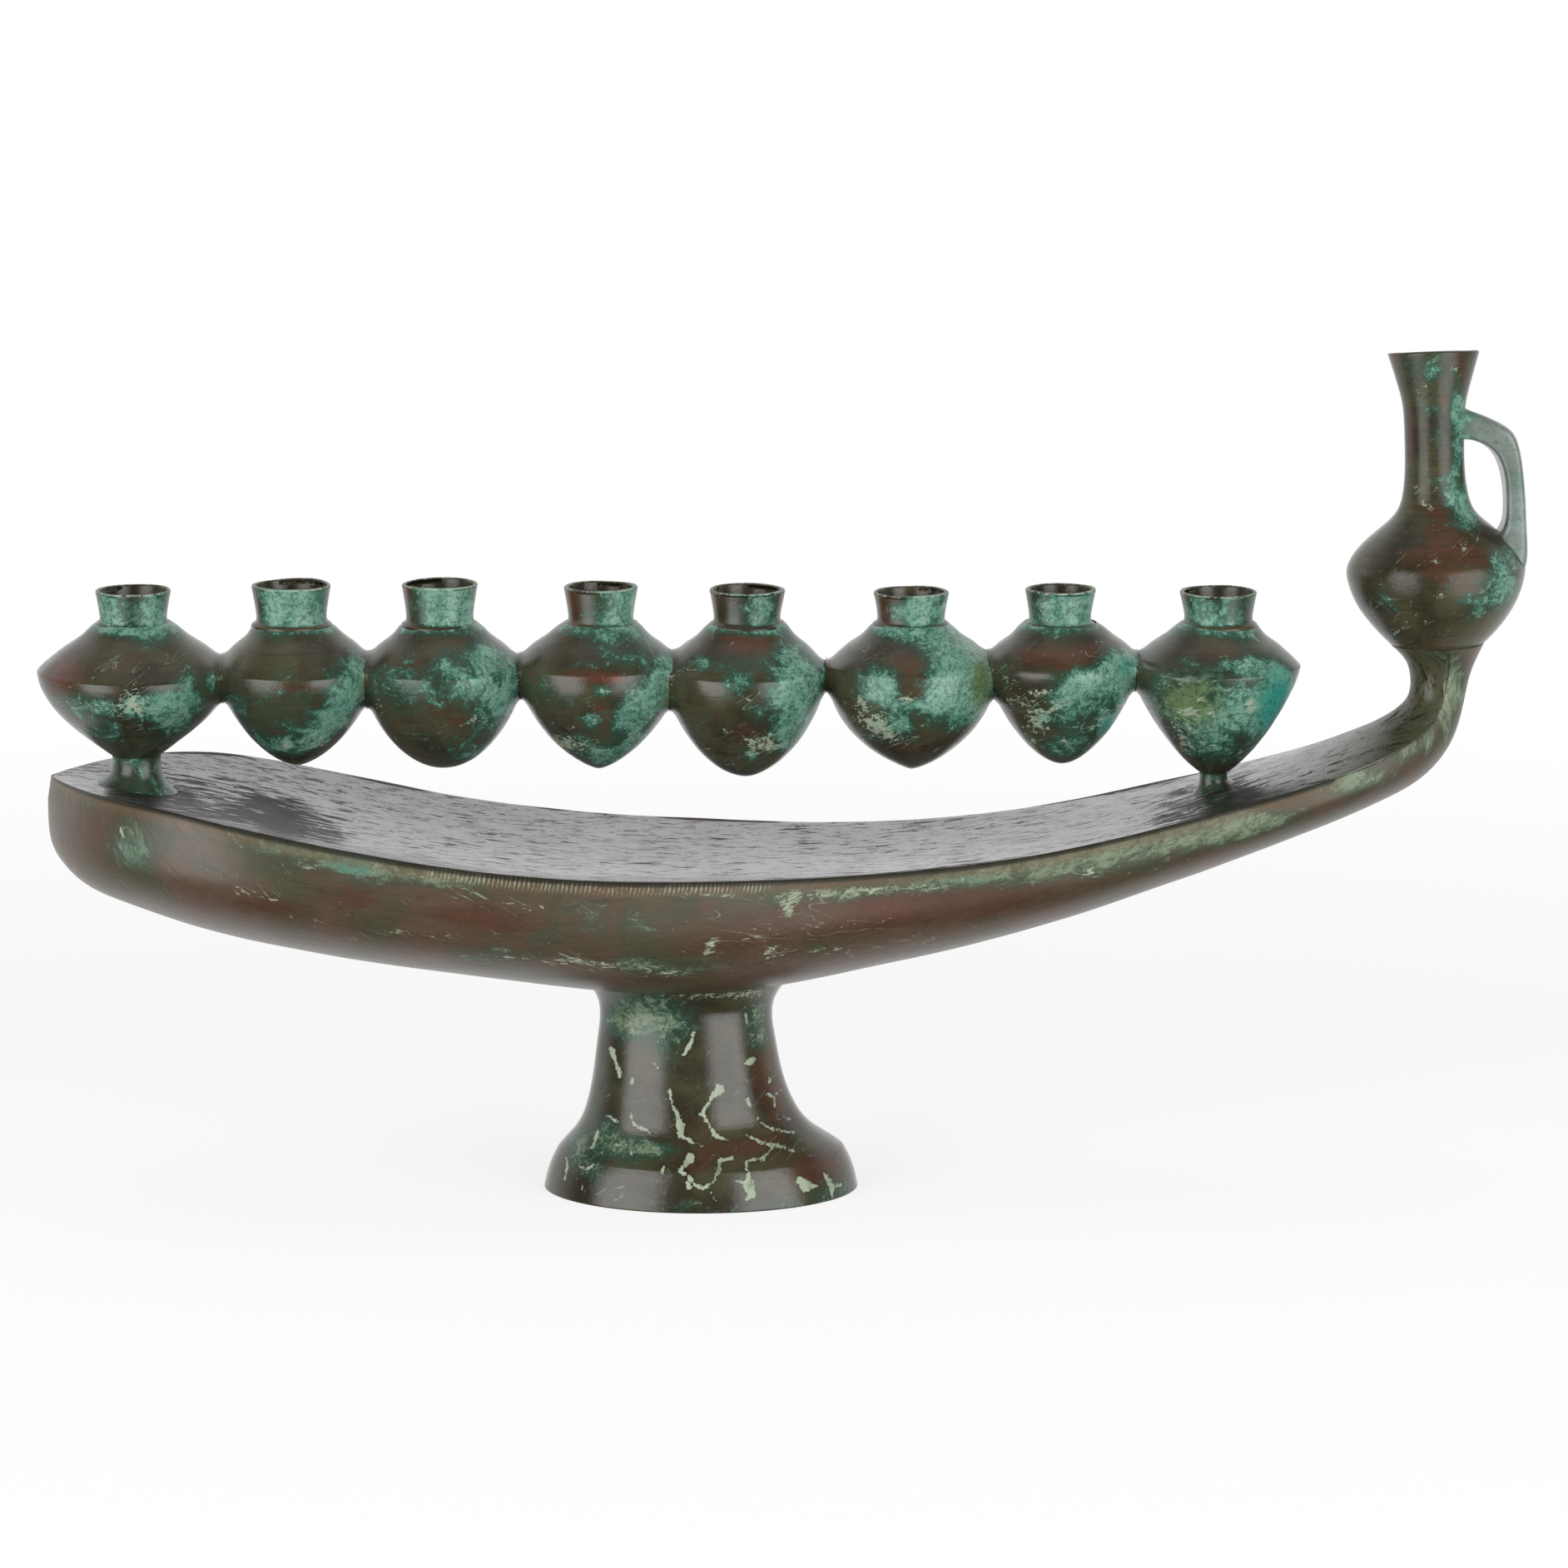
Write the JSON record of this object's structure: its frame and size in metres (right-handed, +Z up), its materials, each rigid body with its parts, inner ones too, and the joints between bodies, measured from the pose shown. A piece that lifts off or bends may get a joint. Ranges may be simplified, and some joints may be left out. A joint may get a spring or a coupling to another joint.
{
  "type": "hanukkah menorah",
  "caption": "Brass oil lamp for Hanukkah: a boat-shaped hull on a flared oval pedestal, a row of small urns over its deck and a handled jug on its upturned tail.",
  "frame": {"origin": "centre of the foot's underside", "axes": "+X from the bow to the tail and its jug, +Z up, so that -Y is the side that the picture shows"},
  "size_m": [0.356, 0.0944, 0.2038],
  "materials": {
    "hull_brass": "cast, dark brown patina with green verdigris and rubbed red-brown places",
    "deck_brass": "dark brown patina, smooth and a little glossy",
    "pedestal_brass": "dark olive patina with pale veins of verdigris",
    "urn_brass": "turned, dark olive patina with blue-green verdigris",
    "neck_brass": "turned, blue-green verdigris over dark brown",
    "jug_brass": "dark brown patina with green verdigris",
    "fastener_steel": "plain turned steel, dulled"
  },
  "bodies": {
    "root": {"bow_urn_stem": "urn_brass", "deck_plate": "deck_brass", "hull_shell": "hull_brass", "jug_body": "jug_brass", "jug_handle": "jug_brass", "pedestal": "pedestal_brass", "pedestal_bolt": "fastener_steel", "pedestal_washer": "fastener_steel", "tail_urn_stem": "urn_brass", "urn_1_body": "urn_brass", "urn_1_neck": "neck_brass", "urn_2_body": "urn_brass", "urn_2_neck": "neck_brass", "urn_3_body": "urn_brass", "urn_3_neck": "neck_brass", "urn_4_body": "urn_brass", "urn_4_neck": "neck_brass", "urn_5_body": "urn_brass", "urn_5_neck": "neck_brass", "urn_6_body": "urn_brass", "urn_6_neck": "neck_brass", "urn_7_body": "urn_brass", "urn_7_neck": "neck_brass", "urn_8_body": "urn_brass", "urn_8_neck": "neck_brass"}
  },
  "joints": []
}
